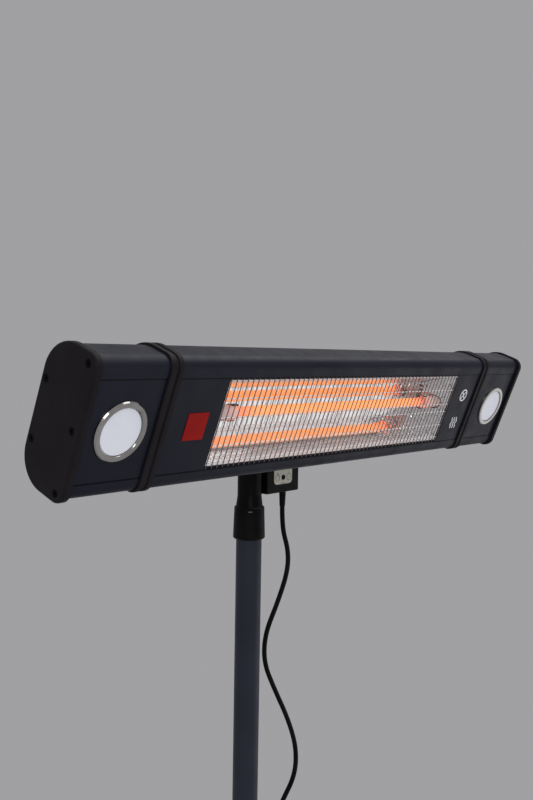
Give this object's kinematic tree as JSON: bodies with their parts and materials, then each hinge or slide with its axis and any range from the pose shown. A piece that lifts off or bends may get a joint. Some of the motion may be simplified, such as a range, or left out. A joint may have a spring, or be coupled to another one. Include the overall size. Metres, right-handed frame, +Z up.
{
  "type": "radiant heater",
  "caption": "Infrared heater bar with round end lamps, tilting on a floor pole with a heavy round base, a control box and a mains cord.",
  "frame": {"origin": "on the floor, on the pole's axis", "axes": "+X along the heater bar, -Y where it faces, +Z up"},
  "size_m": [0.88, 0.6461, 1.8461],
  "materials": {
    "housing_coat": "satin anthracite powder coat with a fine texture",
    "cap_plastic": "satin black moulding",
    "black_plastic": "fine textured black moulding",
    "cord_sheath": "satin black rubber sheath",
    "polished_trim": "polished",
    "milky_lens": "milky diffuser",
    "bare_aluminium": "hammered mirror sheet",
    "grille_wire": "plated wire",
    "quartz": "clear quartz",
    "glowing_carbon": "glowing carbon",
    "ceramic": "glazed white ceramic",
    "zinc_steel": "zinc plated",
    "dark_screw": "blackened steel",
    "bracket_paint": "black powder coat",
    "badge_red": "red printed plate",
    "plate_beige": "printed plate",
    "board": "green board",
    "driver_case": "white moulded case",
    "lead_sheath": "glass-sleeved lead",
    "pole_paint": "satin blue-grey powder coat",
    "base_paint": "textured powder coat",
    "foot_rubber": "matt rubber",
    "plug_brass": "nickel plated"
  },
  "bodies": {
    "stand": {"tilt_strap": "bracket_paint", "post_head": "black_plastic", "pole_collar": "black_plastic", "pole_upper": "pole_paint", "pole_lower": "pole_paint", "pole_coupler": "zinc_steel", "base_plate": "base_paint", "base_socket": "pole_paint", "rubber_feet": "foot_rubber", "stand_bolts": "dark_screw", "control_box_shell": "black_plastic", "control_box_lid": "black_plastic", "control_box_screws": "dark_screw", "control_plate": "plate_beige", "control_board": "board", "strain_relief": "cord_sheath", "mains_cord": "cord_sheath", "cord_coil": "cord_sheath", "cord_tail": "cord_sheath", "plug_body": "cord_sheath", "plug_pins": "plug_brass"},
    "head": {"housing_extrusion": "housing_coat", "end_cap_left": "cap_plastic", "end_cap_right": "cap_plastic", "end_cap_screws": "dark_screw", "divider_ring_left": "cap_plastic", "divider_ring_right": "cap_plastic", "face_panel_left": "housing_coat", "face_panel_right": "housing_coat", "lamp_panel_left": "housing_coat", "lamp_panel_right": "housing_coat", "badge_plate": "badge_red", "lamp_bezel_left": "polished_trim", "lamp_bezel_right": "polished_trim", "lamp_lens_left": "milky_lens", "lamp_lens_right": "milky_lens", "lamp_boards": "board", "lamp_cups": "bare_aluminium", "reflector_trough": "bare_aluminium", "reflector_end_left": "bare_aluminium", "reflector_end_right": "bare_aluminium", "heating_element": "glowing_carbon", "quartz_tube": "quartz", "tube_ceramics": "ceramic", "front_grille": "grille_wire", "tube_holder_left": "zinc_steel", "tube_holder_right": "zinc_steel", "lamp_driver": "driver_case", "terminal_block": "ceramic", "thermal_cutout": "zinc_steel", "head_wiring": "lead_sheath", "tilt_lug_left": "bracket_paint", "tilt_lug_right": "bracket_paint", "lug_screws": "zinc_steel", "pivot_studs": "zinc_steel", "head_gland": "black_plastic"},
    "knob_left": {"tilt_knob_left": "black_plastic"},
    "knob_right": {"tilt_knob_right": "black_plastic"},
    "button": {"power_button": "black_plastic"}
  },
  "joints": [
    {"name": "head_tilt", "type": "hinge", "parent": "stand", "child": "head", "pos_m": [0, -0.08398, 1.79225], "axis": [1, 0, 0], "range_deg": [-21, 24]},
    {"name": "left_knob_turn", "type": "hinge", "parent": "head", "child": "knob_left", "pos_m": [0, -0.08398, 1.79225], "axis": [-1, 0, 0], "range_deg": [0, 360]},
    {"name": "right_knob_turn", "type": "hinge", "parent": "head", "child": "knob_right", "pos_m": [0, -0.08398, 1.79225], "axis": [1, 0, 0], "range_deg": [0, 360]},
    {"name": "button_press", "type": "slide", "parent": "stand", "child": "button", "axis": [0, 1, 0], "range_m": [0, 0.001], "stiffness_N_per_m": 1000, "springref_m": -0.0005}
  ]
}
